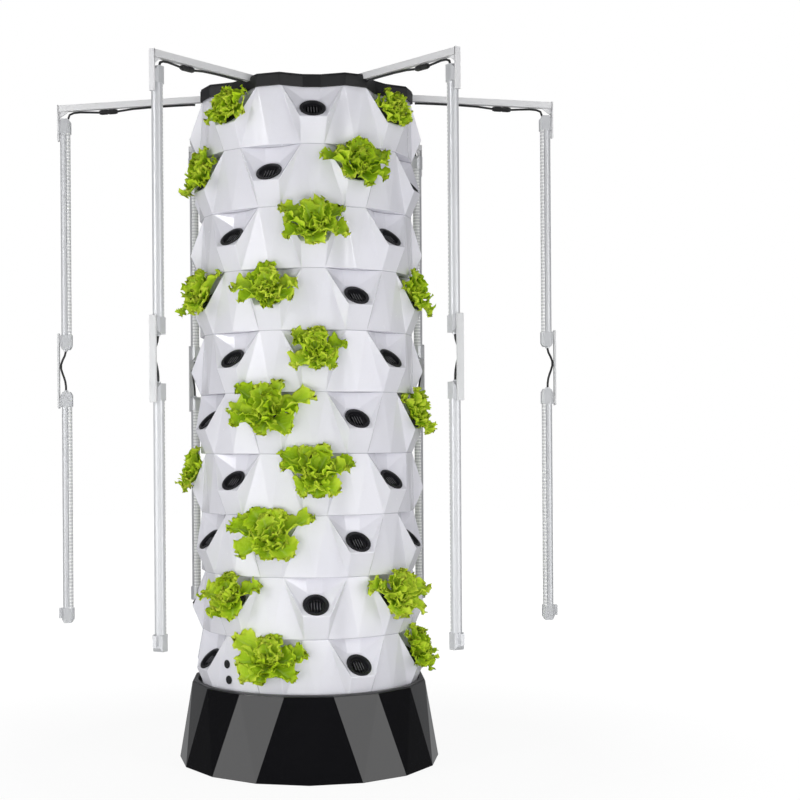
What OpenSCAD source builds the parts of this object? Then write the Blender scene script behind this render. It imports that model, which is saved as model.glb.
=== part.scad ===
// Aeroponic tower: ten stacked planting rings on a faceted reservoir, with six hanging grow lights.
// Millimetres. Origin at the middle of the reservoir's foot, +Z up, the front faces -Y.
// Angles round the tower count from the front (-Y) towards +X.

/* [Reservoir] */
// Corner radius of the reservoir's sixteen sided foot
base_foot_r = 336; // [300:1:380]
// Corner radius of the reservoir's sixteen sided rim
base_rim_r = 304; // [280:1:340]
// Height of the reservoir's rim
base_h = 204; // [200:1:210]
// Wall of the reservoir
base_wall = 5; // [3:0.5:8]
// Floor of the deck, where the rings stand
deck_z = 188; // [140:1:250]

/* [Planting rings] */
// Height of one ring, the pitch of the stack
ring_h = 150; // [110:1:200]
// Number of rings
ring_count = 10; // [10:1:10]
// Pockets in one ring
pockets = 8; // [8:1:8]
// Corner radius of the rings at their seams
seam_r = 276; // [250:1:300]
// Distance of a pocket's lip from the tower's axis
lip_r = 300; // [280:1:330]
// Height of the lip over its ring's seam
lip_z = 60; // [40:1:80]
// Half width of the lip
lip_half = 33; // [31:0.5:40]
// Half angle of a nose at the seam
nose_deg = 6; // [4:0.5:8]
// Depth of a recess behind the seam above it
recess = 32; // [20:1:45]
// Wall of the rings
ring_wall = 3.2; // [2.5:0.1:5]
// Turn of the stack on the reservoir
stack_turn = 3.8; // [0:0.1:11]

/* [Net cups] */
// Radius of a pocket's bore
bore_r = 28; // [24:0.5:29]
// Radius of a cup's flange
flange_r = 32; // [30:0.5:33]
// Depth of a cup's skirt in an empty pocket
cup_depth = 14; // [8:1:20]
// Depth of its slotted floor below the plate
cup_floor = 5; // [3:0.5:6]
// Depth of a planted cup
basket_depth = 44; // [30:1:50]

/* [Top] */
// Height of the cap over the seam of the top ring
cap_h = 24; // [15:1:40]
// Skirt of the cap below that seam
cap_skirt = 8; // [4:1:15]
// Radius of the lid's opening
lid_bore_r = 140; // [100:1:180]

/* [Lights] */
// Distance of the lamps from the tower's axis
lamp_r = 624; // [560:1:700]
// Angle of the front and rear arms from the middle plane
arm_deg = 32; // [28:0.5:36]
// Width of the square arm tube
arm_w = 16; // [12:0.5:20]
// Wall of the arm tube
arm_wall = 1.5; // [1:0.1:3]
// Droop of the arms
arm_droop = 3.4; // [0:0.1:6]
// Length of one lamp with its end caps
lamp_l = 600; // [500:1:650]
// Width of a lamp
lamp_w = 24; // [20:0.5:32]
// Gap between the two lamps of a column
lamp_gap = 110; // [60:1:140]
// Length of an end cap
end_cap_l = 38; // [25:1:50]
// Length of the plate that joins the two lamps
joiner_l = 195; // [150:1:240]
// Diameter of the leads
lead_d = 5.6; // [4:0.1:8]

/* [Pump] */
// Outer diameter of the riser pipe
riser_d = 25; // [20:1:40]
// Radius of the impeller
impeller_r = 18; // [12:1:22]

/* [Hidden] */
$fn = 64;
pitch = 360 / pockets;
top_z = deck_z + ring_count * ring_h;
cap_top = top_z + cap_h;
hole_r = lip_r - 24;
hole_z = lip_z + 24;
arm_top = cap_top + 5;
riser_z = 76;
riser_l = (top_z - 28 - riser_z) / 4;
arm_in = 224;
arm_pivot = 274;
arm_out = lamp_r + 16;
lamp_top = arm_top - (lamp_r - arm_pivot) * tan(arm_droop) - 36;
lamp_mid = lamp_top - lamp_l - lamp_gap / 2;
arm_angles = [-arm_deg, arm_deg, 90, 180 - arm_deg, 180 + arm_deg, -90];
lamp_back = 16;

white = [0.9, 0.9, 0.93];
black = [0.05, 0.05, 0.06];
charcoal = [0.12, 0.12, 0.13];
grey = [0.78, 0.79, 0.81];
green = [0.45, 0.62, 0.08];

// Which pockets carry a plant, ring by ring from the top: [pocket, width of the head].
// Odd rings have a pocket at the front, even rings stand half a pitch further on.
planted = [
  [[7, 0.84], [1, 0.74], [3, 0.9], [4, 0.8]],
  [[6, 0.8], [0, 0.92], [3, 0.85], [4, 0.95]],
  [[0, 1.0], [4, 0.9]],
  [[6, 0.95], [7, 0.9], [1, 0.8], [3, 0.95], [4, 0.85]],
  [[0, 0.78], [4, 0.95]],
  [[7, 1.22], [1, 0.75], [3, 1.1], [4, 0.85]],
  [[6, 0.85], [0, 1.08], [4, 1.0]],
  [[7, 1.2], [3, 1.05], [4, 0.9]],
  [[7, 0.98], [1, 1.06], [3, 0.95], [4, 1.0]],
  [[7, 1.1], [1, 0.84], [3, 1.05], [4, 0.9]]
];
// Empty cups that are pieces of their own: [ring, pocket].
loose = [[9, 0], [8, 0], [5, 1]];

function pocket_a(row, k) = stack_turn + k * pitch + (row % 2 == 0 ? pitch / 2 : 0);
function seam_z(row) = deck_z + (ring_count - row) * ring_h;
function polar(r, a, z) = [r * sin(a), -r * cos(a), z];
// A point beside a pocket: x along the wall, y away from the axis, z up.
function beside(a, x, y, z) = [x * cos(a) + y * sin(a), x * sin(a) - y * cos(a), z];

// Sixteen sided solid whose upper corners may stand half a side round from the lower ones.
module sided(r0, z0, r1, z1, turn0 = 0, turn1 = 0, n = 16) {
  step = 360 / n;
  pts = concat([for (i = [0:n - 1]) polar(r0, turn0 + i * step, z0)],
               [for (i = [0:n - 1]) polar(r1, turn1 + i * step, z1)]);
  polyhedron(pts, concat(
    [[for (i = [0:n - 1]) i], [for (i = [n - 1:-1:0]) n + i]],
    [for (i = [0:n - 1]) [i, n + i, (i + 1) % n]],
    [for (i = [0:n - 1]) [(i + 1) % n, n + i, n + (i + 1) % n]]));
}

// Corner points of a ring, pocket by pocket. in is their distance inside the outer skin, low the foot.
function ring_points(in, low) = let (
    r = seam_r - in, side = 0.8 * in, wide = 16.5 + 0.19 * in,
    plate = lip_r + lip_z - in * sqrt(2), lip_y = lip_r - 1.35 * in,
    mid_y = hole_r - 0.7 * in, top_y = hole_r - 26 - 0.9 * in, back_y = seam_r - recess - in)
  [for (k = [0:pockets - 1]) let (a = k * pitch) each [
    polar(r, a - nose_deg, low), polar(r, a + nose_deg, low), polar(r, a + pitch / 2, low),
    beside(a, -lip_half, lip_y, plate - lip_y), beside(a, lip_half, lip_y, plate - lip_y),
    beside(a, -36 - side, mid_y, plate - mid_y), beside(a, 36 + side, mid_y, plate - mid_y),
    beside(a, -18 - side, top_y, plate - top_y), beside(a, 18 + side, top_y, plate - top_y),
    beside(a, -22 - side, back_y, ring_h), beside(a, 22 + side, back_y, ring_h),
    polar(r, a - wide, ring_h), polar(r, a + wide, ring_h)]];

// Faces between those points, the foot first. from is the index of the first point.
function ring_faces(from) = concat(
  [[for (k = [0:pockets - 1]) let (b = from + 13 * k) each [b, b + 1, b + 2]]],
  [for (k = [0:pockets - 1]) let (b = from + 13 * k, c = from + 13 * ((k + 1) % pockets)) each [
    [b, b + 3, b + 4, b + 1], [b + 3, b + 5, b + 7, b + 8, b + 6, b + 4],
    [b + 7, b + 9, b + 10, b + 8],
    [b + 4, b + 6, b + 12], [b + 6, b + 8, b + 12], [b + 8, b + 10, b + 12],
    [b + 3, b + 11, b + 5], [b + 5, b + 11, b + 7], [b + 7, b + 11, b + 9],
    [b + 1, b + 4, b + 12], [b, b + 11, b + 3],
    [b + 1, b + 12, b + 2], [b + 12, c + 11, b + 2], [b + 2, c + 11, c]]]);

function flipped(faces) = [for (f = faces) [for (i = [len(f) - 1:-1:0]) f[i]]];

// Shell of a ring: an outer and an inner skin, joined along its open top.
module ring_shell() {
  inner = 13 * pockets;
  rim = [for (k = [0:pockets - 1]) each [13 * k + 11, 13 * k + 9, 13 * k + 10, 13 * k + 12]];
  n = len(rim);
  polyhedron(concat(ring_points(0, 0), ring_points(ring_wall, 3)), concat(
    ring_faces(0), flipped(ring_faces(inner)),
    [for (i = [0:n - 1]) let (a = rim[i], b = rim[(i + 1) % n]) [b, a, inner + a, inner + b]]));
}

module at_pocket(row, k) {
  rotate([0, 0, pocket_a(row, k)]) translate([0, -hole_r, seam_z(row) + hole_z])
    rotate([45, 0, 0]) children();
}

module plug_place(i) {
  rotate([0, 0, stack_turn - 53.25]) translate([i * 7 + 12, -seam_r + 2.1, deck_z + 80 - i * 38])
    rotate([90, 0, 0]) children();
}

module planting_ring(row) {
  difference() {
    union() {
      translate([0, 0, seam_z(row)]) rotate([0, 0, pocket_a(row, 0)]) difference() {
        ring_shell();
        translate([0, 0, -1]) cylinder(r = seam_r - recess - 15, h = 6);
      }
      translate([0, 0, seam_z(row) - 8]) difference() {
        cylinder(r = seam_r - recess - 8, h = 9);
        translate([0, 0, -1]) cylinder(r = seam_r - recess - 11.5, h = 11);
      }
    }
    for (k = [0:pockets - 1]) at_pocket(row, k)
      translate([0, 0, -14]) cylinder(r = bore_r, h = 20);
    if (row == ring_count) for (i = [0:1]) plug_place(i)
      translate([0, 0, -12]) cylinder(r = 8.5, h = 24, $fn = 32);
  }
}

module cup() {
  difference() {
    rotate_extrude($fn = 48) polygon([[0, -cup_floor - 2.4], [22.5, -cup_floor - 2.4],
      [24, -cup_depth], [bore_r - 1.6, -cup_depth], [bore_r - 0.6, 0.3], [flange_r, 0.3],
      [flange_r, 2.3], [flange_r - 1, 3.3], [26, 3.3], [24.6, 1.8], [23.6, -cup_floor],
      [0, -cup_floor]]);
    for (i = [-2:2]) let (half = sqrt(19 * 19 - 49 * i * i))
      translate([i * 7 - 1.6, -half, -cup_floor - 3]) cube([3.2, 2 * half, 5]);
  }
  for (i = [-1.5:1.5]) let (half = sqrt(20 * 20 - 49 * i * i))
    translate([i * 7, half, -cup_floor - 0.2]) rotate([90, 0, 0])
      linear_extrude(2 * half) polygon([[-1.4, 0], [1.4, 0], [0.8, 2.6], [-0.8, 2.6]]);
}

module basket() {
  rotate_extrude($fn = 48) polygon([[0, -basket_depth], [19, -basket_depth], [20, -basket_depth + 1],
    [bore_r - 0.6, 0.3], [flange_r, 0.3], [flange_r, 2.3], [flange_r - 1, 3.3], [26, 3.3],
    [24.6, 1.6], [0, 1.6]]);
}

function is_planted(row, k) = len([for (p = planted[row - 1]) if (p[0] == k) 1]) > 0;
function is_loose(row, k) = len([for (p = loose) if (p[0] == row && p[1] == k) 1]) > 0;

module cups(row) {
  for (k = [0:pockets - 1]) if (!is_loose(row, k)) at_pocket(row, k)
    if (is_planted(row, k)) basket(); else cup();
}

// Head of leaves: levels of [height over the cup, reach sideways, up the wall, down the wall].
leaf_levels = [[1.6, 14, 14, 14], [22, 50, 28, 54], [38, 80, 38, 78], [62, 84, 52, 74], [84, 56, 50, 48]];

module head(width, seed, rise) {
  n = 12;
  m = len(leaf_levels);
  pts = concat([for (j = [0:m - 1]) let (l = leaf_levels[j]) for (i = [0:n - 1])
    let (a = i * 360 / n, up = sin(a) > 0 ? l[2] * rise : l[3], q = sin(a) * sin(a),
         r = (l[1] * (1 - q) * width + up * q) * (j == 0 ? 1 : 0.95 + 0.05 * sin(a * 5 + seed + 70 * j)))
    [r * cos(a), r * sin(a), l[0] + (j == 0 ? 0 : 3 * sin(a * 4 + seed))]], [[0, 0, 96]]);
  polyhedron(pts, concat([[for (i = [0:n - 1]) i]],
    [for (j = [0:m - 2]) for (i = [0:n - 1]) let (b = j * n, c = (i + 1) % n) each
      [[b + i, b + n + i, b + c], [b + c, b + n + i, b + n + c]]],
    [for (i = [0:n - 1]) [(m - 1) * n + i, m * n, (m - 1) * n + (i + 1) % n]]));
}

// Heads of the top ring stay lower, clear of the cap.
module heads(row) {
  for (p = planted[row - 1]) at_pocket(row, p[0])
    head(p[1], 37 * row + 61 * p[0], row == 1 ? 0.72 : 1);
}

// A lead along points [distance from the axis, height] in an arm's own plane.
module lead(path, d) {
  n = 8;
  m = len(path);
  pts = [for (j = [0:m - 1])
    let (t0 = path[min(j + 1, m - 1)] - path[max(j - 1, 0)], t = t0 / norm(t0))
    for (i = [0:n - 1]) let (a = -i * 360 / n)
      [d / 2 * sin(a), -(path[j][0] - d / 2 * cos(a) * t[1]), path[j][1] + d / 2 * cos(a) * t[0]]];
  polyhedron(pts, concat([[for (i = [0:n - 1]) i], [for (i = [n - 1:-1:0]) (m - 1) * n + i]],
    [for (j = [0:m - 2]) for (i = [0:n - 1]) let (b = j * n, c = (i + 1) % n) each
      [[b + i, b + n + i, b + c], [b + c, b + n + i, b + n + c]]]));
}

function arm_low(r) = arm_top - arm_w / cos(arm_droop) - (r - arm_pivot) * tan(arm_droop);

module on_arm(i) rotate([0, 0, arm_angles[i - 1]]) children();

// The frame of an arm's tube: x along the tube from the pivot, z up from its top face.
module along_arm() {
  translate([0, -arm_pivot, arm_top]) rotate([arm_droop, 0, 0]) children();
}

module arm_tube(wall = 0) {
  reach = (arm_out - arm_pivot) / cos(arm_droop) + 1.5 - 2 * wall;
  along_arm() translate([-arm_w / 2 + wall, -reach, -arm_w + wall])
    cube([arm_w - 2 * wall, reach + arm_pivot - arm_in + 2 * wall, arm_w - 2 * wall]);
}

module light_arm(i) on_arm(i) {
  difference() {
    arm_tube();
    arm_tube(arm_wall);
  }
  out_z = arm_top - (arm_out - arm_pivot) * tan(arm_droop);
  translate([1 - arm_w / 2, -arm_out - 5, out_z - 92]) cube([arm_w - 2, 5, 93.5]);
  translate([-2, -arm_out, 0]) rotate([90, 0, 90]) linear_extrude(4)
    polygon([[-1, arm_low(arm_out) - 18], [-1, arm_low(arm_out) + 0.7],
      [26, arm_low(arm_out - 26) + 0.7]]);
}

// Cross-section of a lamp's metal back, seen from above with +Y away from the tower.
module back_profile() {
  h = lamp_w / 2;
  polygon(concat([[-h, -2], [-h, 3]], [for (a = [180:-15:0]) [h * cos(a), 3 + 11 * sin(a)]],
    [[h, 3], [h, -2], [h - 3, -2], [h - 3, -4], [-h + 3, -4], [-h + 3, -2]]));
}

// End cap of a lamp, its closed end down. Its long side is tapered towards that end.
module end_cap() {
  h = lamp_w / 2 + 1.2;
  intersection() {
    linear_extrude(end_cap_l) polygon([[-h, lamp_back - 5], [-h + 5, lamp_back],
      [h - 5, lamp_back], [h, lamp_back - 5], [h, -8], [h - 5, -14], [-h + 5, -14], [-h, -8]]);
    rotate([90, 0, 90]) translate([0, 0, -h]) linear_extrude(2 * h) polygon([[-14, end_cap_l],
      [lamp_back, end_cap_l], [lamp_back, 9], [lamp_back - 6, 0], [-8, 0], [-14, 9]]);
  }
}

module gland(z) translate([0, 3, z - 4]) difference() {
  cylinder(r = 5.5, h = 8, $fn = 24);
  translate([0, 0, -1]) cylinder(r = lead_d / 2 + 0.2, h = 10, $fn = 24);
}

module at_lamp(i) on_arm(i) translate([0, -lamp_r, 0]) rotate([0, 0, 180]) children();

// One lamp. Its lead enters at the end that faces the other lamp, and a lower one has a clip.
module lamp(i, z, low) at_lamp(i) difference() {
  union() {
    translate([0, 0, z + end_cap_l]) linear_extrude(lamp_l - 2 * end_cap_l) back_profile();
    translate([0, 0, z]) end_cap();
    translate([0, 0, z + lamp_l]) mirror([0, 0, 1]) end_cap();
    gland(low ? z + lamp_l : z);
    if (low) translate([-5, lamp_back - 1, z + 12]) cube([10, 9, 26]);
  }
  translate([0, 3, low ? z + lamp_l - 10 : z - 5]) cylinder(r = lead_d / 2 + 0.2, h = 15, $fn = 24);
}

upper_z = lamp_top - lamp_l;
lower_z = upper_z - lamp_gap - lamp_l;

module lens(i, z) at_lamp(i) translate([0, 0, z + end_cap_l])
  linear_extrude(lamp_l - 2 * end_cap_l) polygon(concat(
    [for (a = [180:15:360]) [10.8 * cos(a), -4 + 8.5 * sin(a)]],
    [for (a = [360:-15:180]) [9.4 * cos(a), -4 + 7.1 * sin(a)]]));

module strip(i, z) at_lamp(i) translate([-5, -5.4, z + end_cap_l])
  cube([10, 1.4, lamp_l - 2 * end_cap_l]);

module joiner(i) at_lamp(i) translate([0, lamp_back, lamp_mid - joiner_l / 2]) {
  for (z = [4, joiner_l - 24]) translate([-6, 0, z]) cube([12, 4, 20]);
  translate([0, 3.5, 0]) rotate([90, 0, 90]) translate([0, 0, -9]) linear_extrude(18)
    polygon([[0, 0], [3.5, 0], [4.5, 1], [4.5, joiner_l - 1], [3.5, joiner_l], [0, joiner_l]]);
}

lead_in = 286;
connector_r = 512;
module arm_lead(i) on_arm(i) lead([
  [lead_in, arm_low(lead_in) - 4.6], [lead_in + 10, arm_low(lead_in) - 4.6],
  [340, arm_low(340) - 3.4], [400, arm_low(400) - 3.2], [450, arm_low(450) - 4.5],
  [connector_r - 25, arm_low(connector_r) - 6.5], [connector_r + 25, arm_low(connector_r) - 9.5],
  [560, arm_low(560) - 6], [585, arm_low(585) - 4.2], [602, arm_low(602) - 5],
  [613, arm_low(613) - 9], [617, lamp_top + 1], [617, lamp_top]], lead_d);

module connector(i) on_arm(i)
  translate([0, -connector_r, arm_low(connector_r) - 8]) rotate([90 + arm_droop, 0, 0])
    rotate_extrude($fn = 24) polygon([[lead_d / 2, -24], [5, -24], [6.6, -18], [6.6, -2], [5.6, -1],
      [5.6, 1], [6.6, 2], [6.6, 17], [5, 23], [lead_d / 2, 23]]);

// The lead between two lamps bows outwards, most just above its middle. Its ends are straight.
module link_lead(i) {
  lead_r = lamp_r + 3;
  half = lamp_gap / 2 - 4;
  bowed = [for (j = [0:9])
    let (u = j / 9, bow = sin(180 * (1 - pow(1 - u, 1.4))))
    [lead_r + 13 * bow * bow, lamp_mid + half * (1 - 2 * u)]];
  on_arm(i) lead(concat([[lead_r, lamp_mid + half + 12]], bowed, [[lead_r, lamp_mid - half - 12]]),
    lead_d);
}

// Outline of the cap: that of a ring's open top, grown all round.
function cap_outline(grow) = [for (k = [0:pockets - 1]) let (a = k * pitch, back = seam_r - recess + grow)
  for (p = [polar(seam_r + grow, a - 16.5, 0), beside(a, -22, back, 0),
            beside(a, 22, back, 0), polar(seam_r + grow, a + 16.5, 0)]) [p[0], p[1]]];

module cap_slab(grow, low, high) rotate([0, 0, stack_turn]) translate([0, 0, low])
  linear_extrude(high - low) polygon(cap_outline(grow));

// Wall of the reservoir, with the ledge that its deck lies on.
module reservoir_tank() color(black) difference() {
  sided(base_foot_r, 0, base_rim_r, base_h, 0, 11.25);
  difference() {
    sided(base_foot_r - base_wall, -0.5, base_rim_r - base_wall, base_h + 0.5, 0, 11.25);
    translate([0, 0, deck_z - 12]) difference() {
      cylinder(r = base_rim_r + 20, h = 8);
      translate([0, 0, -1]) cylinder(r = base_rim_r - 24, h = 10);
    }
  }
}

module reservoir_floor() color(black)
  sided(base_foot_r - base_wall - 0.2, 0, base_foot_r - base_wall - 1.2, base_wall);

// The deck hangs by its flange on the rim, and its sunk floor lies on the ledge.
module reservoir_deck() color(charcoal) difference() {
  union() {
    translate([0, 0, deck_z - 4]) cylinder(r = base_rim_r - 14, h = base_h - deck_z + 5, $fn = 96);
    sided(base_rim_r - 1, base_h, base_rim_r - 2, base_h + 3.5, 11.25, 11.25);
  }
  translate([0, 0, deck_z]) cylinder(r = base_rim_r - 17, h = base_h, $fn = 96);
  translate([0, 0, deck_z - 6]) cylinder(r = seam_r - recess - 6, h = 10);
}

module pump_body() color(charcoal) difference() {
  union() {
    translate([-42, -30, base_wall]) cube([84, 60, 12]);
    translate([0, 34, 46]) rotate([90, 0, 0]) cylinder(r = 28, h = 62);
    translate([-24, -28, base_wall]) cube([48, 62, 40]);
    translate([0, 0, 60]) cylinder(r = riser_d / 2, h = riser_z - 62);
  }
  translate([0, -8, 46]) rotate([90, 0, 0]) cylinder(r = impeller_r + 4, h = 30);
  translate([0, 12, 46]) rotate([90, 0, 0]) cylinder(r = 3.05, h = 40);
  translate([0, -6, 56]) cylinder(r = 5, h = 30);
}

module pump_impeller() color(grey) translate([0, -24, 46]) rotate([-90, 0, 0]) {
  cylinder(r = 3, h = 34);
  translate([0, 0, 12]) cylinder(r = impeller_r, h = 2.5);
  cylinder(r = 6, h = 14);
  for (i = [0:5]) rotate([0, 0, 60 * i]) translate([4, -1, 2]) cube([impeller_r - 5, 2, 11]);
}

module pump_strainer() color(black) translate([0, -28, 46]) rotate([90, 0, 0]) difference() {
  cylinder(r = 27, h = 5);
  for (i = [-3:3]) let (half = sqrt(20 * 20 - 25 * i * i))
    translate([5 * i - 1.5, -half, -1]) cube([3, 2 * half, 7]);
}

// The riser is four lengths of pipe with a coupling at the foot of each.
module riser_pipe() color(grey) for (i = [0:3]) translate([0, 0, riser_z + i * riser_l]) difference() {
  cylinder(r = riser_d / 2, h = riser_l - (i < 3 ? 2 : 0));
  translate([0, 0, -1]) cylinder(r = riser_d / 2 - 2.5, h = riser_l + 2);
}

// Each coupling has a stop between the two ends that it joins. The first stands on the pump's outlet.
module riser_couplings() color(charcoal) for (i = [0:3]) translate([0, 0, riser_z + i * riser_l])
  difference() {
    foot = i == 0 ? 2 : 18;
    translate([0, 0, -foot]) cylinder(r = riser_d / 2 + 3, h = foot + 18);
    translate([0, 0, -22]) cylinder(r = riser_d / 2, h = 20);
    cylinder(r = riser_d / 2, h = 20);
    translate([0, 0, -4]) cylinder(r = riser_d / 2 - 2.5, h = 8);
  }

module spray_head() color(black) translate([0, 0, top_z - 28]) difference() {
  rotate_extrude() polygon([[0, 24], [24, 24], [30, 20], [30, 8], [18, 0], [riser_d / 2 - 2.5, 0],
    [riser_d / 2 - 2.5, 10], [24, 14], [24, 20], [0, 20]]);
  for (i = [0:11]) rotate([0, 0, 30 * i]) translate([0, 0, 15]) rotate([90, 0, 0])
    cylinder(r = 1.5, h = 40, $fn = 16);
}

module top_cap() color(charcoal) difference() {
  union() {
    difference() {
      union() {
        cap_slab(7, top_z - cap_skirt, cap_top - 5);
        cap_slab(5, top_z - cap_skirt, cap_top);
      }
      cap_slab(4.6, top_z - cap_skirt - 1, top_z);
      translate([0, 0, top_z - 1]) cylinder(r = seam_r - recess - 10, h = cap_h - 3);
    }
    translate([0, 0, cap_top - 1]) cylinder(r = lid_bore_r + 5, h = 5);
  }
  translate([0, 0, cap_top - 6]) cylinder(r = lid_bore_r, h = 14);
  for (i = [1:6]) on_arm(i) arm_tube();
}

module top_lid() color(charcoal) difference() {
  translate([0, 0, cap_top + 4.3]) rotate_extrude($fn = 96) polygon([[0, -16], [lid_bore_r - 4, -16],
    [lid_bore_r - 1, 0], [lid_bore_r + 10, 0], [lid_bore_r + 10, 3], [lid_bore_r + 7, 5], [30, 7],
    [24, 8], [22, 16], [17, 19], [0, 19]]);
  translate([0, 0, cap_top - 13]) difference() {
    cylinder(r = lid_bore_r - 8, h = 14);
    translate([0, 0, -1]) cylinder(r = 20, h = 20);
  }
}

module plug() rotate_extrude($fn = 32) polygon([[0, -8], [6.5, -8], [8.3, -2], [8.3, 1.6], [10.5, 1.6],
  [10.5, 3.4], [8.8, 4.6], [6, 4.6], [5, 3.4], [0, 3.4]]);

module port_plug_upper() color(black) plug_place(0) plug();
module port_plug_lower() color(black) plug_place(1) plug();

module planting_ring_01() color(white) planting_ring(1);
module planting_ring_02() color(white) planting_ring(2);
module planting_ring_03() color(white) planting_ring(3);
module planting_ring_04() color(white) planting_ring(4);
module planting_ring_05() color(white) planting_ring(5);
module planting_ring_06() color(white) planting_ring(6);
module planting_ring_07() color(white) planting_ring(7);
module planting_ring_08() color(white) planting_ring(8);
module planting_ring_09() color(white) planting_ring(9);
module planting_ring_10() color(white) planting_ring(10);

module net_cups_01() color(black) cups(1);
module net_cups_02() color(black) cups(2);
module net_cups_03() color(black) cups(3);
module net_cups_04() color(black) cups(4);
module net_cups_05() color(black) cups(5);
module net_cups_06() color(black) cups(6);
module net_cups_07() color(black) cups(7);
module net_cups_08() color(black) cups(8);
module net_cups_09() color(black) cups(9);
module net_cups_10() color(black) cups(10);
module loose_cup_ring_05() color(black) at_pocket(5, 1) cup();
module loose_cup_ring_08() color(black) at_pocket(8, 0) cup();
module loose_cup_ring_09() color(black) at_pocket(9, 0) cup();

module lettuce_01() color(green) heads(1);
module lettuce_02() color(green) heads(2);
module lettuce_03() color(green) heads(3);
module lettuce_04() color(green) heads(4);
module lettuce_05() color(green) heads(5);
module lettuce_06() color(green) heads(6);
module lettuce_07() color(green) heads(7);
module lettuce_08() color(green) heads(8);
module lettuce_09() color(green) heads(9);
module lettuce_10() color(green) heads(10);

module light_arm_1() color(grey) light_arm(1);
module light_arm_2() color(grey) light_arm(2);
module light_arm_3() color(grey) light_arm(3);
module light_arm_4() color(grey) light_arm(4);
module light_arm_5() color(grey) light_arm(5);
module light_arm_6() color(grey) light_arm(6);

module upper_lamps() color(grey) for (i = [1:6]) lamp(i, upper_z, false);
module lower_lamps() color(grey) for (i = [1:6]) lamp(i, lower_z, true);
module lamp_lenses() color([0.85, 0.88, 0.9, 0.4]) for (i = [1:6]) {
  lens(i, upper_z);
  lens(i, lower_z);
}
module led_strips() color([0.95, 0.93, 0.75]) for (i = [1:6]) {
  strip(i, upper_z);
  strip(i, lower_z);
}
module lamp_joiners() color(grey) for (i = [1:6]) joiner(i);
module arm_leads() color(black) for (i = [1:6]) arm_lead(i);
module lead_connectors() color(black) for (i = [1:6]) connector(i);
module link_leads() color(black) for (i = [1:6]) link_lead(i);

reservoir_tank();
reservoir_floor();
reservoir_deck();
pump_body();
pump_impeller();
pump_strainer();
riser_pipe();
riser_couplings();
spray_head();
planting_ring_01();
planting_ring_02();
planting_ring_03();
planting_ring_04();
planting_ring_05();
planting_ring_06();
planting_ring_07();
planting_ring_08();
planting_ring_09();
planting_ring_10();
net_cups_01();
net_cups_02();
net_cups_03();
net_cups_04();
net_cups_05();
net_cups_06();
net_cups_07();
net_cups_08();
net_cups_09();
net_cups_10();
loose_cup_ring_05();
loose_cup_ring_08();
loose_cup_ring_09();
lettuce_01();
lettuce_02();
lettuce_03();
lettuce_04();
lettuce_05();
lettuce_06();
lettuce_07();
lettuce_08();
lettuce_09();
lettuce_10();
top_cap();
top_lid();
port_plug_upper();
port_plug_lower();
light_arm_1();
light_arm_2();
light_arm_3();
light_arm_4();
light_arm_5();
light_arm_6();
upper_lamps();
lower_lamps();
lamp_lenses();
led_strips();
lamp_joiners();
arm_leads();
lead_connectors();
link_leads();
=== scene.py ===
import math
import random

import bmesh
import bpy
from mathutils import Euler, Matrix, Vector


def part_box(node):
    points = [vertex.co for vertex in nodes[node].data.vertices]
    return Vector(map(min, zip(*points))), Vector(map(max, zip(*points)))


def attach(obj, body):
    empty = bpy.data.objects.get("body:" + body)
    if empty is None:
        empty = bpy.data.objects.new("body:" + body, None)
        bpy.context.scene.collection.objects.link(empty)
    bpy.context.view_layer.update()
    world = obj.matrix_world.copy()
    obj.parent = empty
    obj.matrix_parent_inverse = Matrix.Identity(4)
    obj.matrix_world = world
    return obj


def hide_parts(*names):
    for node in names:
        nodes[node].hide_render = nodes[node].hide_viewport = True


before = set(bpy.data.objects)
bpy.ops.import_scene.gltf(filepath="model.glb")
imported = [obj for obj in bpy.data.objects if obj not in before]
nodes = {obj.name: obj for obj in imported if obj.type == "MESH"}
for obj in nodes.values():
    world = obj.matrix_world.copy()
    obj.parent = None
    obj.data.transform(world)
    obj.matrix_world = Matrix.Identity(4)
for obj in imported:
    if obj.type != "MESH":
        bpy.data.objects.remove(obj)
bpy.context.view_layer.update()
scene = bpy.context.scene
MM = 0.001


# Camera, from the photograph: its distance, height and lens, and where the tower's axis lies.
PHOTO = 800
FOCAL_PX = 1453
HORIZON_PX = 439.5
AXIS_PX = 307.2
CAMERA_DISTANCE = 3.784
CAMERA_HEIGHT = 0.8226
CAMERA_ROLL = math.radians(-0.38)


def set_camera():
    data = bpy.data.cameras.new("camera")
    data.sensor_width = 36
    data.lens = data.sensor_width * FOCAL_PX / PHOTO
    data.shift_x = (PHOTO / 2 - AXIS_PX) / PHOTO
    data.shift_y = (HORIZON_PX - PHOTO / 2) / PHOTO
    camera = bpy.data.objects.new("camera", data)
    camera.matrix_world = (Matrix.Translation((0, -CAMERA_DISTANCE, CAMERA_HEIGHT))
                           @ Euler((math.pi / 2, 0, 0)).to_matrix().to_4x4()
                           @ Matrix.Rotation(CAMERA_ROLL, 4, "Z"))
    scene.collection.objects.link(camera)
    scene.camera = camera


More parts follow.
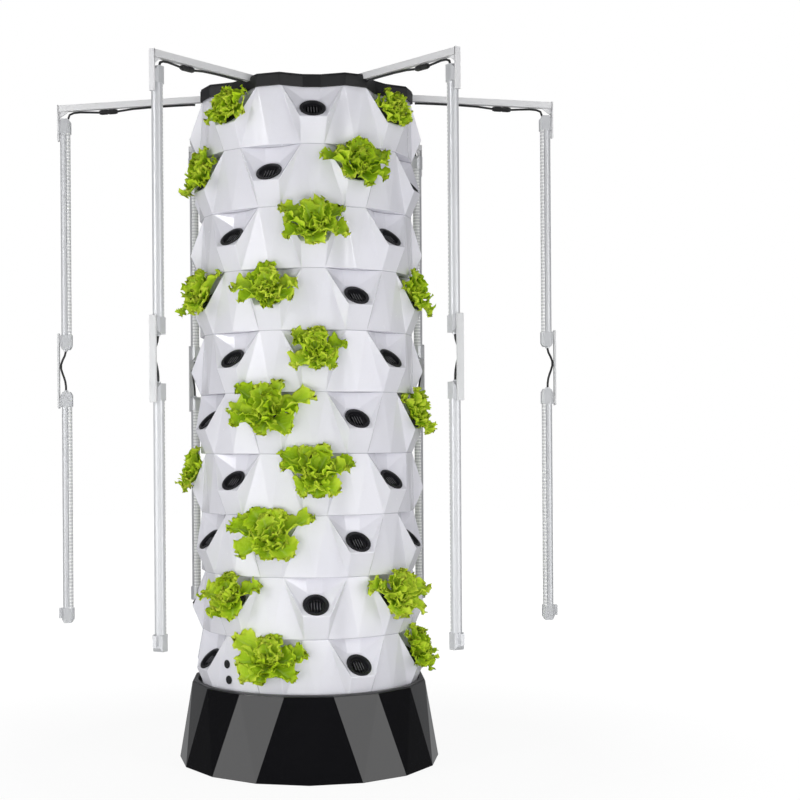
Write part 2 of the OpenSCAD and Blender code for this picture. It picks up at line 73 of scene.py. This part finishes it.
# Shader writing.
class Value:
    """A shader socket that takes part in Python arithmetic."""

    def __init__(self, tree, socket):
        self.tree = tree
        self.socket = socket

    def math(self, operation, *terms):
        node = self.tree.nodes.new("ShaderNodeMath")
        node.operation = operation
        for slot, term in zip(node.inputs, terms):
            if isinstance(term, Value):
                self.tree.links.new(term.socket, slot)
            else:
                slot.default_value = term
        return Value(self.tree, node.outputs[0])

    def __add__(self, other):
        return self.math("ADD", self, other)

    def __sub__(self, other):
        return self.math("SUBTRACT", self, other)

    def __rsub__(self, other):
        return self.math("SUBTRACT", other, self)

    def __mul__(self, other):
        return self.math("MULTIPLY", self, other)

    def __pow__(self, other):
        return self.math("POWER", self, other)

    __radd__ = __add__
    __rmul__ = __mul__

    def clamped(self):
        return self.math("MINIMUM", self.math("MAXIMUM", self, 0.0), 1.0)


class Graph:
    """A node tree written as expressions."""

    def __init__(self, tree):
        self.tree = tree

    def node(self, kind, settings=None, inputs=None, out=0):
        node = self.tree.nodes.new(kind)
        for key, value in (settings or {}).items():
            setattr(node, key, value)
        for key, value in (inputs or {}).items():
            if isinstance(value, Value):
                self.tree.links.new(value.socket, node.inputs[key])
            else:
                node.inputs[key].default_value = value
        return Value(self.tree, node.outputs[out])

    def ray(self, kind):
        return self.node("ShaderNodeLightPath", out=f"Is {kind} Ray")

    def mixed(self, factor, first, second):
        return self.node("ShaderNodeMixShader", inputs={0: factor, 1: first, 2: second})


class Finish(Graph):
    """A material whose expressions end in one principled shader."""

    def __init__(self, name, **fixed):
        self.material = bpy.data.materials.new(name)
        self.material.use_nodes = True
        super().__init__(self.material.node_tree)
        self.shader = self.tree.nodes["Principled BSDF"]
        self.surface = self.tree.nodes["Material Output"].inputs["Surface"]
        for socket, value in fixed.items():
            self.shader.inputs[socket.replace("_", " ")].default_value = value

    def place(self):
        return self.node("ShaderNodeTexCoord", out="Object")

    def stretched(self, scale):
        return self.node("ShaderNodeMapping", inputs={"Vector": self.place(), "Scale": scale})

    def noise(self, scale, detail=3.0, rough=0.55, vector=None):
        return self.node("ShaderNodeTexNoise", inputs={
            "Vector": vector or self.place(), "Scale": scale, "Detail": detail, "Roughness": rough})

    def attribute(self, name):
        return self.node("ShaderNodeAttribute", {"attribute_name": name}, out="Fac")

    def blend(self, factor, first, second):
        mix = self.tree.nodes.new("ShaderNodeMix")
        mix.data_type = "RGBA"
        for slot, value in ((mix.inputs[0], factor), (mix.inputs[6], first), (mix.inputs[7], second)):
            if isinstance(value, Value):
                self.tree.links.new(value.socket, slot)
            else:
                slot.default_value = value if isinstance(value, float) else (*value[:3], 1)
        return Value(self.tree, mix.outputs[2])

    def ramp(self, value, low, high):
        return self.node("ShaderNodeMapRange", inputs={
            "Value": value, "From Min": low, "From Max": high})

    def bump(self, height, distance, strength=1.0):
        return self.node("ShaderNodeBump", inputs={
            "Height": height, "Distance": distance, "Strength": strength})

    def shaded(self):
        return Value(self.tree, self.shader.outputs[0])

    def feed(self, **sockets):
        for socket, value in sockets.items():
            self.tree.links.new(value.socket, self.shader.inputs[socket.replace("_", " ")])
        return self.material


def moulded_white():
    finish = Finish("moulded_white_gloss", IOR=1.5, Coat_Weight=0.35, Coat_Roughness=0.08)
    cloud = finish.noise(5.0, 2.0)
    flow = finish.noise(14.0, 2.0, vector=finish.stretched((1, 1, 0.35)))
    grain = finish.noise(900.0, 2.0)
    dust = finish.ramp(finish.noise(60.0, 6.0, 0.7), 0.52, 0.75)
    tint = finish.blend(cloud, (0.73, 0.725, 0.79), (0.79, 0.785, 0.83))
    return finish.feed(
        Base_Color=finish.blend(dust * 0.12, tint, (0.62, 0.61, 0.60)),
        Roughness=0.17 + dust * 0.12 + cloud * 0.06,
        Normal=finish.bump(flow + grain * 0.004, 0.0045, 0.5))


def gloss_black():
    finish = Finish("gloss_black", IOR=1.5, Coat_Weight=0.4, Coat_Roughness=0.05)
    flow = finish.noise(7.0, 2.0)
    dust = finish.ramp(finish.noise(140.0, 8.0, 0.75), 0.55, 0.8)
    scratch = finish.ramp(finish.noise(90.0, 2.0, vector=finish.stretched((0.3, 0.3, 6))), 0.68, 0.74)
    return finish.feed(
        Base_Color=finish.blend(dust * 0.3, (0.0035, 0.0035, 0.0045), (0.02, 0.02, 0.021)),
        Roughness=0.08 + dust * 0.14 + scratch * 0.08,
        Normal=finish.bump(flow, 0.003, 0.25))


def satin_plastic(name, dark, light, roughness=0.4, grain_height=0.00025):
    finish = Finish(name, IOR=1.48)
    cloud = finish.noise(22.0, 4.0)
    grain = finish.noise(1500.0, 2.0)
    return finish.feed(
        Base_Color=finish.blend(cloud, dark, light),
        Roughness=roughness + cloud * 0.12,
        Normal=finish.bump(grain, grain_height, 0.4))


def painted(name, dark, light):
    finish = Finish(name, IOR=1.5, Coat_Weight=0.2, Coat_Roughness=0.2)
    cloud = finish.noise(12.0, 3.0)
    peel = finish.noise(700.0, 2.0)
    return finish.feed(
        Base_Color=finish.blend(cloud, dark, light),
        Roughness=0.3 + cloud * 0.1,
        Normal=finish.bump(peel, 0.0002, 0.5))


def drawn_aluminium():
    finish = Finish("lamp_back", IOR=1.5, Metallic=0.35)
    lines = finish.noise(30.0, 3.0, vector=finish.stretched((60, 60, 0.4)))
    cloud = finish.noise(9.0, 3.0)
    return finish.feed(
        Base_Color=finish.blend(cloud, (0.66, 0.67, 0.69), (0.76, 0.77, 0.79)),
        Roughness=0.3 + lines * 0.12,
        Normal=finish.bump(lines, 0.0002, 0.4))


CHIP_PITCH = 8.8 * MM


def clear_lens():
    """Ribbed cover, painted with a row of pale spots over the chips behind it: painted light of the chips
    showing through the cover.
    """
    finish = Finish("clear_ribbed_lens", IOR=1.46, Roughness=0.14)
    height = finish.node("ShaderNodeSeparateXYZ", inputs={0: finish.place()}, out="Z")
    turns = height * (2 * math.pi / CHIP_PITCH)
    # pale spots at the chips' pitch: painted light of the chips, where the cover is also a little more
    # opaque
    painted_chip_dots = finish.ramp(turns.math("SINE", turns), 0.1, 0.75)
    ribs = finish.noise(60.0, 1.0, vector=finish.stretched((40, 40, 1.0)))
    return finish.feed(
        Base_Color=finish.blend(painted_chip_dots, (0.80, 0.81, 0.82), (0.97, 0.97, 0.96)),
        Alpha=0.80 + painted_chip_dots * 0.12 + ribs * 0.06,
        Normal=finish.bump(ribs, 0.0004, 0.6))


LEAF_THROUGH = 0.40  # share of a leaf's light that comes through it


def leaf_green():
    finish = Finish("lettuce_leaf", IOR=1.4)
    rim = finish.attribute("rim")
    tone = finish.attribute("tone")
    vein = finish.attribute("vein")
    blister = finish.noise(150.0, 3.0)
    speck = finish.noise(45.0, 4.0)
    # dark green at each leaf's foot and midrib, bright green at its ruffled rim: partly the leaf's own
    # colour, partly painted shade towards the head's middle and a painted highlight on the rims
    deep_shaded_green = finish.blend(tone, (0.30, 0.51, 0.004), (0.49, 0.71, 0.012))
    bright = finish.blend(tone, (0.66, 0.85, 0.022), (0.86, 0.95, 0.11))
    blade = finish.blend((rim ** 1.6 * 0.8 + speck * 0.5 - 0.12).clamped(), deep_shaded_green, bright)
    colour = finish.blend((vein * (1 - rim) * 0.6).clamped(), blade, (0.68, 0.84, 0.20))
    finish.feed(
        Base_Color=colour,
        Roughness=0.42 + blister * 0.2,
        Normal=finish.bump(blister + vein * 0.6, 0.0022, 0.8))
    through = finish.node("ShaderNodeBsdfTranslucent", inputs={"Color": colour})
    leaf = finish.mixed(LEAF_THROUGH, finish.shaded(), through)
    finish.tree.links.new(leaf.socket, finish.surface)
    return finish.material


def glowing_chip():
    finish = Finish("led_chip", Roughness=0.35)
    cloud = finish.noise(400.0, 2.0)
    return finish.feed(Base_Color=finish.blend(cloud, (0.84, 0.80, 0.52), (0.93, 0.91, 0.70)))


WHITE = moulded_white()
BLACK_GLOSS = gloss_black()
CUP_BLACK = satin_plastic("cup_black", (0.007, 0.007, 0.009), (0.015, 0.015, 0.018), 0.42)
# pale grey of the empty cups' bars: a painted highlight
CUP_BAR_HIGHLIGHT = satin_plastic("cup_bar_painted_highlight", (0.12, 0.12, 0.126), (0.19, 0.19, 0.20), 0.4)
CAP_BLACK = satin_plastic("cap_black", (0.011, 0.011, 0.012), (0.020, 0.020, 0.022), 0.45)
DECK_BLACK = satin_plastic("deck_black", (0.022, 0.022, 0.024), (0.040, 0.040, 0.043), 0.35)
PUMP_BLACK = satin_plastic("pump_black", (0.018, 0.018, 0.02), (0.035, 0.035, 0.037), 0.45)
PIPE_GREY = satin_plastic("pipe_grey", (0.42, 0.43, 0.44), (0.52, 0.53, 0.54), 0.4)
ARM_PAINT = painted("arm_paint", (0.70, 0.70, 0.71), (0.78, 0.78, 0.79))
LAMP_BACK = drawn_aluminium()
JOINER_GREY = satin_plastic("joiner_grey", (0.60, 0.605, 0.61), (0.68, 0.685, 0.69), 0.36)
LENS = clear_lens()
BOARD = satin_plastic("led_board", (0.80, 0.81, 0.80), (0.88, 0.885, 0.87), 0.4)
CHIP = glowing_chip()
RUBBER = satin_plastic("plug_rubber", (0.009, 0.009, 0.01), (0.02, 0.02, 0.022), 0.5, 0.0005)
SHEATH = satin_plastic("lead_sheath", (0.012, 0.012, 0.013), (0.03, 0.03, 0.032), 0.42, 0.0004)
LEAF = leaf_green()


def paint(node, material):
    mesh = nodes[node].data
    mesh.materials.clear()
    mesh.materials.append(material)


def add_piece(name, bm, material, smooth=True, body="tower"):
    mesh = bpy.data.meshes.new(name)
    for face in bm.faces:
        face.smooth = smooth
    bm.to_mesh(mesh)
    bm.free()
    mesh.materials.append(material)
    piece = bpy.data.objects.new(name, mesh)
    scene.collection.objects.link(piece)
    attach(piece, body)
    return piece


# Rings, reservoir, cap and arms: the CAD shapes with their moulded edge radii.
RING_EDGE = 2.2 * MM
TANK_EDGE = 0.8 * MM
CAP_EDGE = 1.2 * MM
ARM_EDGE = 0.6 * MM
SAME_POINT = 0.02 * MM
SAME_PLANE = math.radians(0.6)


def merged_copy(node):
    bm = bmesh.new()
    bm.from_mesh(nodes[node].data)
    bmesh.ops.remove_doubles(bm, verts=bm.verts, dist=SAME_POINT)
    bmesh.ops.dissolve_limit(bm, angle_limit=SAME_PLANE, verts=bm.verts, edges=bm.edges)
    return bm


def faces_out(edge, least=-0.25):
    """Whether both faces of an edge look away from the tower's axis, or nearly so."""
    middle = (edge.verts[0].co + edge.verts[1].co) / 2
    out = Vector((middle.x, middle.y, 0)).normalized()
    return all(face.normal.dot(out) > least for face in edge.link_faces)


def soften(bm, width, angle=7, least_length=9 * MM, segments=3, outer=True):
    """Rounds the long edges that turn by more than the angle, in degrees."""
    edges = [e for e in bm.edges if len(e.link_faces) == 2 and e.calc_length() > least_length
             and e.calc_face_angle(0) > math.radians(angle) and (not outer or faces_out(e))]
    bmesh.ops.bevel(bm, geom=edges, offset=width, offset_type="OFFSET", segments=segments,
                    profile=0.5, affect="EDGES", clamp_overlap=False, material=-1)
    return bm


def moulded(node, width, material, slot, **options):
    bm = soften(merged_copy(node), width, **options)
    piece = add_piece(node + "_moulded", bm, material)
    shade = piece.modifiers.new("even_shading", "WEIGHTED_NORMAL")
    shade.keep_sharp = False
    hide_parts(node)


# Lettuce: a head in each planted pocket. The stack's sizes are those of the CAD.
STACK_TURN = math.radians(3.8)
RINGS = 10
POCKETS = 8
RING_H = 0.150
DECK_Z = 0.188
HOLE_R = 0.276
HOLE_Z = 0.084
PLATE_TILT = math.radians(45)
PLANTED = [  # each ring's planted pockets from the front, top ring first, and the heads' sizes
    [(7, 0.84), (1, 0.74), (3, 0.9), (4, 0.8)],
    [(6, 0.8), (0, 0.92), (3, 0.85), (4, 0.95)],
    [(0, 1.0), (4, 0.9)],
    [(6, 0.95), (7, 0.9), (1, 0.8), (3, 0.95), (4, 0.85)],
    [(0, 0.78), (4, 0.95)],
    [(7, 1.22), (1, 0.75), (3, 1.1), (4, 0.85)],
    [(6, 0.85), (0, 1.08), (4, 1.0)],
    [(7, 1.2), (3, 1.05), (4, 0.9)],
    [(7, 0.98), (1, 1.06), (3, 0.95), (4, 1.0)],
    [(7, 1.1), (1, 0.84), (3, 1.05), (4, 0.9)],
]
LEAF_STEPS = 18  # of a leaf's grid, along and across
LEAF_ACROSS = 14
RIB_STEPS = 24
WAVE = 6.283  # one full wave of a rim
WIDE_AT = 0.6  # where along its length a leaf is widest
STALK = 0.12  # share of the width at its foot
LOBE = 0.16  # depth of the lobes, of the half width
TOOTH = 0.05  # depth of the rim's teeth, of the leaf's width
FULL_CURL = 0.35  # how far the blade's sides stand up, of its half width


def pocket_matrix(ring, pocket):
    """The place of a pocket: x along the wall, y up the sloping plate, z out of the hole."""
    turn = STACK_TURN + (pocket + (0.5 if ring % 2 == 0 else 0)) * 2 * math.pi / POCKETS
    base = DECK_Z + (RINGS - ring) * RING_H
    return (Matrix.Rotation(turn, 4, "Z") @ Matrix.Translation((0, -HOLE_R, base + HOLE_Z))
            @ Matrix.Rotation(PLATE_TILT, 4, "X"))


def smooth_step(x, low, high):
    t = min(1.0, max(0.0, (x - low) / (high - low)))
    return t * t * (3 - 2 * t)


def add_leaf(bm, layers, draw, azimuth, length, width, rise, droop, frill, place):
    """One ruffled leaf: a grid bent along its rib, its rim waved, lobed and toothed."""
    grid = bmesh.ops.create_grid(bm, x_segments=LEAF_STEPS, y_segments=LEAF_ACROSS, size=0.5)
    phase = [draw.uniform(0, WAVE) for _ in range(6)]
    waves = draw.uniform(1.6, 2.3)
    sway = draw.uniform(-0.3, 0.3)
    tone = draw.random()
    tilts = [rise - droop * (i / RIB_STEPS) ** 1.5 for i in range(RIB_STEPS + 1)]
    spine = [Vector((0, 0, 0))]
    for tilt in tilts[:-1]:
        spine.append(spine[-1] + Vector((math.cos(tilt), 0, math.sin(tilt))) * length / RIB_STEPS)
    turn = Matrix.Rotation(azimuth, 4, "Z")
    for vert in grid["verts"]:
        u, v = vert.co.x + 0.5, vert.co.y * 2
        row, column = round(u * LEAF_STEPS), round((v + 1) / 2 * LEAF_ACROSS)
        on_rim = row == LEAF_STEPS or column in (0, LEAF_ACROSS)
        tooth = (1 if (row + column) % 2 else -0.7) * draw.uniform(0.4, 1.0) if on_rim else 0
        tip = smooth_step(u, 0.7, 1.0)
        edge = max(abs(v), tip)
        around = u + 0.55 * (1 - abs(v)) * tip
        lobe = 1 + LOBE * math.sin(WAVE * waves * u + phase[0] + 0.7 * v) * abs(v)
        half = (width * (STALK + (1 - STALK) * smooth_step(u, 0.0, WIDE_AT)) * lobe
                * math.sqrt(max(0.1, 1 - (max(0, u - WIDE_AT) / 0.43) ** 2)))
        reach = u * (1 - 0.10 * v * v * u) + 0.05 * tip * math.sin(4.5 * v + phase[1]) * (1 - abs(v))
        reach += 0.9 * TOOTH * tooth * tip
        along = min(RIB_STEPS - 1e-6, max(0, reach * RIB_STEPS))
        k = int(along)
        point = spine[k].lerp(spine[k + 1], along - k)
        up = Vector((-math.sin(tilts[k]), 0, math.cos(tilts[k])))
        ruffle = frill * edge ** 2.2 * (0.3 + 0.7 * u)
        lift = (ruffle * math.sin(WAVE * waves * around + 1.6 * v + phase[2])
                + 0.55 * ruffle * math.sin(WAVE * waves * 2.6 * around + 3 * v + phase[3])
                + FULL_CURL * half * v * v - 0.12 * half * (1 - abs(v)) ** 3)
        across = (half * (v - 0.16 * v ** 3) + 2 * TOOTH * width * tooth * (1 if v > 0 else -1)
                  + 0.4 * ruffle * math.sin(WAVE * waves * 1.9 * around + phase[4]))
        point = point + Vector((0, across + sway * length * u * u * 0.4, 0)) + up * lift
        ladder = max(0.0, math.cos(WAVE * (5.5 * u - 2.4 * abs(v)))) ** 6
        vert[layers["rim"]] = edge
        vert[layers["tone"]] = tone
        vert[layers["vein"]] = max(0.0, 1 - abs(v) * 7, ladder * 0.7 * (1 - u * 0.5))
        vert.co = place @ (turn @ point)


LEAF_TIERS = (  # leaves, first azimuth, share of the reach, half width, rise and droop in degrees
    (7, 0.25, 1.0, 0.038, 30, 46),
    (5, 0.75, 0.86, 0.035, 48, 44),
    (3, 0.10, 0.66, 0.027, 68, 36),
)
GROWS_UP = math.radians(-9)  # how far a head turns from its pocket towards the sky
TOP_RING_LIFT = 0.8  # the cap leaves less room for the heads of the top ring
REACH_SIDE = 106 * MM  # length of a head's leaves to the sides, upward and hanging, at size 1
REACH_UP = 78 * MM
REACH_DOWN = 64 * MM
SHORTEST_LEAF = 47 * MM
RISE_UP = 42  # degrees that upward leaves stand more, and hanging ones less
RISE_DOWN = 8
STIFF_UP = 0.75  # share by which upward leaves droop less, and hanging ones more
SLACK_DOWN = 0.5
FRILL = (6 * MM, 10.5 * MM)  # height of the ruffles
HEAD_FOOT = 3 * MM  # height of the leaves' feet over the pocket's hole
LEAF_WALL = 0.6 * MM


def add_head(bm, layers, ring, pocket, size):
    """A loose head: outer leaves that spread and droop, inner ones that stand."""
    draw = random.Random(1000 * ring + pocket)
    lift = TOP_RING_LIFT if ring == 1 else 1.0
    place = (pocket_matrix(ring, pocket) @ Matrix.Translation((0, 0, HEAD_FOOT))
             @ Matrix.Rotation(GROWS_UP * lift, 4, "X"))
    for count, start, share, width, rise, droop in LEAF_TIERS:
        for i in range(count):
            azimuth = start + (i + draw.uniform(-0.3, 0.3)) * 2 * math.pi / count
            up, down = max(0.0, math.sin(azimuth)), max(0.0, -math.sin(azimuth))
            side = math.cos(azimuth) ** 2
            reach = ((REACH_SIDE * size * side + REACH_UP * up * up + REACH_DOWN * down * down)
                     * share * lift * draw.uniform(0.88, 1.1))
            add_leaf(bm, layers, draw, azimuth, max(SHORTEST_LEAF, reach),
                     width * draw.uniform(0.85, 1.1) * (0.5 + 0.5 * size),
                     math.radians(rise + RISE_UP * up - RISE_DOWN * down),
                     math.radians(droop * (1 - STIFF_UP * up + SLACK_DOWN * down)) * draw.uniform(0.8, 1.15),
                     draw.uniform(*FRILL), place)


def grow_row(ring):
    bm = bmesh.new()
    layers = {name: bm.verts.layers.float.new(name) for name in ("rim", "tone", "vein")}
    for pocket, size in PLANTED[ring - 1]:
        add_head(bm, layers, ring, pocket, size)
    piece = add_piece(f"lettuce_heads_{ring:02d}", bm, LEAF)
    wall = piece.modifiers.new("leaf_thickness", "SOLIDIFY")
    wall.thickness = LEAF_WALL
    wall.offset = 0
    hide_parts(f"lettuce_{ring:02d}")


# Lamps: the chips on the strip behind each lens.
ARM_ANGLES = [math.radians(a) for a in (-32, 32, 90, 148, 212, -90)]
LAMP_STEP = 0.710  # from the top of an upper lamp to that of the lower one
STRIP_L = 0.524
CHIP_R = 0.618
CHIP_SIZE = (5.0 * MM, 1.6 * MM, 4.0 * MM, 1)
STRIP_END = 8 * MM  # from a strip's top to its first chip


def add_chips():
    bm = bmesh.new()
    strips_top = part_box("led_strips")[1][2]
    count = int((STRIP_L - 1.5 * STRIP_END) / CHIP_PITCH)
    for angle in ARM_ANGLES:
        for top in (strips_top, strips_top - LAMP_STEP):
            for k in range(count):
                place = (Matrix.Rotation(angle, 4, "Z")
                         @ Matrix.Translation((0, -CHIP_R, top - STRIP_END - k * CHIP_PITCH)))
                bmesh.ops.create_cube(bm, size=1, matrix=place @ Matrix.Diagonal(CHIP_SIZE))
    add_piece("led_chips", bm, CHIP, smooth=False)


CUP_SLOTS_R = 20 * MM
BAR_PITCH = 7 * MM
BAR_WIDE = 1.4 * MM
BAR_HIGH = 0.8 * MM
BAR_SHARE = 0.56  # of the chord that it lies on
BARS_AT = (-1.0 * MM, -2.4 * MM)  # in y and z of the pocket: sunk a little in the cup
LOOSE_CUPS = {(9, 0): "cup_ring_09", (8, 0): "cup_ring_08", (5, 1): "cup_ring_05"}


def add_bar_highlights():
    """Pale grey bars over the slots of each empty cup: painted highlights where the cup's bars catch the
    light.
    """
    meshes = {"tower": bmesh.new()}
    for body in LOOSE_CUPS.values():
        meshes[body] = bmesh.new()
    for ring in range(1, RINGS + 1):
        taken = {pocket for pocket, _ in PLANTED[ring - 1]}
        for pocket in range(POCKETS):
            if pocket in taken:
                continue
            bm = meshes[LOOSE_CUPS.get((ring, pocket), "tower")]
            for bar in (-1.5, -0.5, 0.5, 1.5):
                chord = 2 * math.sqrt(CUP_SLOTS_R ** 2 - (BAR_PITCH * bar) ** 2)
                place = pocket_matrix(ring, pocket) @ Matrix.Translation((BAR_PITCH * bar, *BARS_AT))
                bmesh.ops.create_cube(
                    bm, size=1, matrix=place @ Matrix.Diagonal((BAR_WIDE, BAR_SHARE * chord, BAR_HIGH, 1)))
    for body, bm in meshes.items():
        add_piece(f"cup_bar_highlights_{body}", bm, CUP_BAR_HIGHLIGHT, smooth=False, body=body)


PAINTED = {
    "net_cups": CUP_BLACK, "loose_cup": CUP_BLACK, "light_arm": ARM_PAINT, "port_plug": RUBBER,
    "reservoir_deck": DECK_BLACK, "reservoir_floor": BLACK_GLOSS, "pump_body": PUMP_BLACK,
    "pump_impeller": PIPE_GREY, "pump_strainer": PUMP_BLACK, "riser_pipe": PIPE_GREY,
    "riser_couplings": PUMP_BLACK, "spray_head": PUMP_BLACK, "top_cap": CAP_BLACK,
    "top_lid": CAP_BLACK, "upper_lamps": LAMP_BACK, "lower_lamps": LAMP_BACK, "lamp_lenses": LENS,
    "led_strips": BOARD, "lamp_joiners": JOINER_GREY, "arm_leads": SHEATH,
    "lead_connectors": SHEATH, "link_leads": SHEATH,
}


def paint_nodes():
    """Gives each CAD node the finish of the group that its name starts with."""
    for name in nodes:
        for start, material in PAINTED.items():
            if name.startswith(start):
                paint(name, material)


# Studio: white surround, pale floor and soft boxes.
def softbox(name, place, aim, size, energy, shine):
    data = bpy.data.lights.new(name, "AREA")
    data.shape = "RECTANGLE"
    data.size, data.size_y = size
    data.energy = energy
    lamp = bpy.data.objects.new(name, data)
    lamp.location = place
    lamp.rotation_euler = (Vector(aim) - Vector(place)).to_track_quat("-Z", "Y").to_euler()
    lamp.visible_glossy = shine
    scene.collection.objects.link(lamp)


SOFTBOXES = [  # name, place, aim, size, watts, and whether glossy faces mirror it
    ("left_box", (-2.9, -2.0, 0.75), (0, 0, 0.7), (2.3, 1.9), 25, True),
    ("right_box", (2.9, -2.0, 0.70), (0, 0, 0.7), (2.3, 1.9), 25, True),
    ("top_box", (0.0, -1.2, 4.2), (0, 0, 1.0), (2.6, 2.2), 6, True),
    ("front_box", (-0.2, -2.4, 0.35), (0, 0, 0.6), (1.6, 0.8), 24, False),
    ("rear_box", (0.4, 4.8, 1.4), (0, 0, 0.9), (2.6, 2.0), 55, False),
    ("left_strip", (-2.6, -2.3, 2.2), (0, 0, 1.1), (0.10, 2.2), 20, True),
    ("right_strip", (2.3, -2.6, 2.2), (0, 0, 1.1), (0.10, 2.2), 16, True),
]
FILL = 0.58  # of the surround, on matt faces
FILL_LOW = 0.9  # how much less of it comes from straight above
GLOSS_FRONT = 0.06  # the surround as glossy faces see it, in front and behind
GLOSS_BACK = 0.3
BEHIND_FROM, BEHIND_TO = 0.45, 0.8
WHITE_SKY = (0.97, 0.98, 1.0, 1)
PLAIN_WHITE = (1, 1, 1, 1)
FLOOR_HALF = 12
FLOOR_SEEN = 0.88  # how much of the floor's look is plain white, near the tower
FLOOR_NEAR = 0.7  # the floor turns all white between these distances from the tower
FLOOR_FAR = 1.9
FLOOR_GLOW = 1.05


def white_surround():
    """White to the camera, a soft fill on matt faces, and dark in front to glossy ones."""
    world = bpy.data.worlds.new("surround")
    world.use_nodes = True
    world.node_tree.nodes.clear()
    scene.world = world
    sky = Graph(world.node_tree)
    place = sky.node("ShaderNodeTexCoord", out="Generated")
    depth = sky.node("ShaderNodeSeparateXYZ", inputs={0: place}, out="Y")
    height = sky.node("ShaderNodeSeparateXYZ", inputs={0: place}, out="Z")
    behind = sky.node("ShaderNodeMapRange", inputs={
        "Value": depth, "From Min": BEHIND_FROM, "From Max": BEHIND_TO})
    matt = FILL * (1 - height.clamped() * FILL_LOW)
    gloss = GLOSS_FRONT + behind * (GLOSS_BACK - GLOSS_FRONT)
    glossy = sky.ray("Glossy")
    fill = sky.node("ShaderNodeBackground", inputs={
        "Color": WHITE_SKY, "Strength": matt * (1 - glossy) + gloss * glossy})
    plain = sky.node("ShaderNodeBackground", inputs={"Color": PLAIN_WHITE, "Strength": 1.0})
    out = sky.mixed((sky.ray("Camera") + sky.ray("Transmission")).clamped(), fill, plain)
    end = sky.tree.nodes.new("ShaderNodeOutputWorld")
    sky.tree.links.new(out.socket, end.inputs["Surface"])


def pale_floor():
    """Holds the tower's soft shadow and fades into the white surround."""
    finish = Finish("pale_floor", Roughness=0.9)
    finish.feed(Base_Color=finish.blend(finish.noise(3.0), (0.64, 0.64, 0.64), (0.68, 0.68, 0.68)))
    bright = finish.node("ShaderNodeEmission", inputs={"Color": PLAIN_WHITE, "Strength": FLOOR_GLOW})
    seen = (finish.ray("Camera") + finish.ray("Transmission")).clamped()
    distance = finish.node("ShaderNodeVectorMath", {"operation": "LENGTH"}, {0: finish.place()}, "Value")
    far = finish.ramp(distance, FLOOR_NEAR, FLOOR_FAR)
    cover = finish.mixed(seen * (FLOOR_SEEN + far * (1 - FLOOR_SEEN)), finish.shaded(), bright)
    finish.tree.links.new(cover.socket, finish.surface)
    return finish.material


def lay_floor():
    bm = bmesh.new()
    bmesh.ops.create_grid(bm, x_segments=1, y_segments=1, size=FLOOR_HALF)
    mesh = bpy.data.meshes.new("floor")
    bm.to_mesh(mesh)
    bm.free()
    mesh.materials.append(pale_floor())
    floor = bpy.data.objects.new("floor", mesh)
    scene.collection.objects.link(floor)
    floor.visible_glossy = False


def light_studio():
    scene.view_settings.view_transform = "Standard"
    white_surround()
    for box in SOFTBOXES:
        softbox(*box)
    lay_floor()


set_camera()
light_studio()
paint_nodes()
for number in range(1, RINGS + 1):
    moulded(f"planting_ring_{number:02d}", RING_EDGE, WHITE, "ring_gloss")
    grow_row(number)
moulded("reservoir_tank", TANK_EDGE, BLACK_GLOSS, "tank_gloss")
moulded("top_cap", CAP_EDGE, CAP_BLACK, "cap_black")
for number in range(1, len(ARM_ANGLES) + 1):
    moulded(f"light_arm_{number}", ARM_EDGE, ARM_PAINT, "arm_painted", outer=False)
# painted highlights on the bars of the empty cups
add_chips()
add_bar_highlights()
